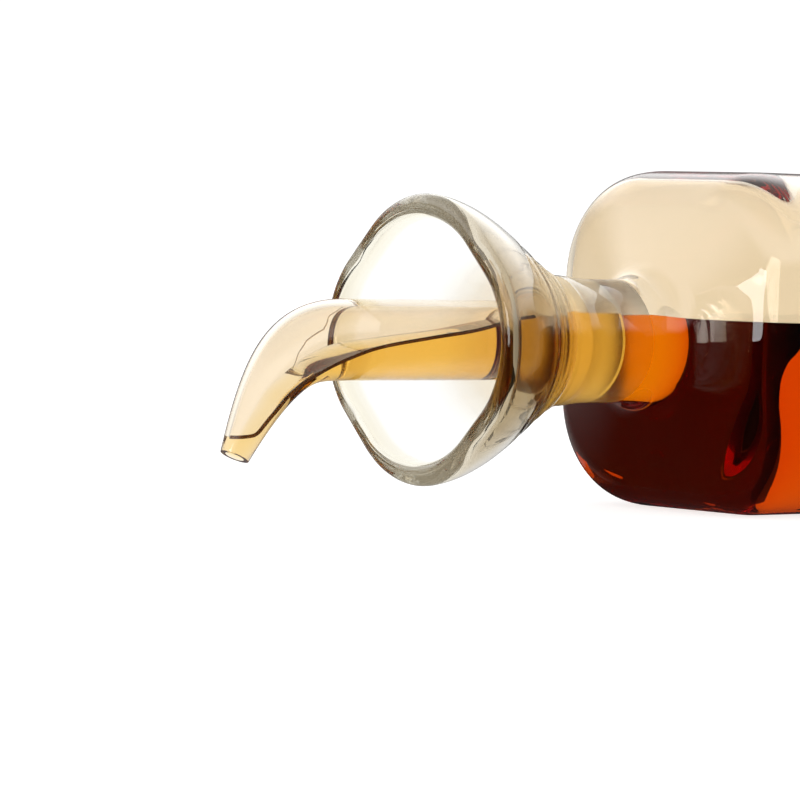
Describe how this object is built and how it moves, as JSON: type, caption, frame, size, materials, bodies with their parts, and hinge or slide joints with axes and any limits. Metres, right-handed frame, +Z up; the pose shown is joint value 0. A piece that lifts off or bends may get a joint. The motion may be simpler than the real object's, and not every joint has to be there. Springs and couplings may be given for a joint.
{
  "type": "soy sauce cruet",
  "caption": "Clear glass cruet with a square body, a funnel mouth and a bent pouring spout, lying on its side half full of soy sauce.",
  "frame": {"origin": "on the flat side that the bottle lies on, straight below the bottle's axis", "axes": "+X along the bottle from mouth to base, +Z up, the spout bends down towards -Z"},
  "size_m": [0.1984, 0.07, 0.07],
  "materials": {
    "bottle_glass": "clear, fire-polished, faintly warm, with a ground bore in the neck",
    "spout_glass": "clear and polished, ground on the plug",
    "soy_sauce": "clear dark red-brown liquid, golden where it is thin"
  },
  "bodies": {
    "root": {"glass_bottle": "bottle_glass", "glass_spout": "spout_glass", "soy_sauce": "soy_sauce"}
  },
  "joints": []
}
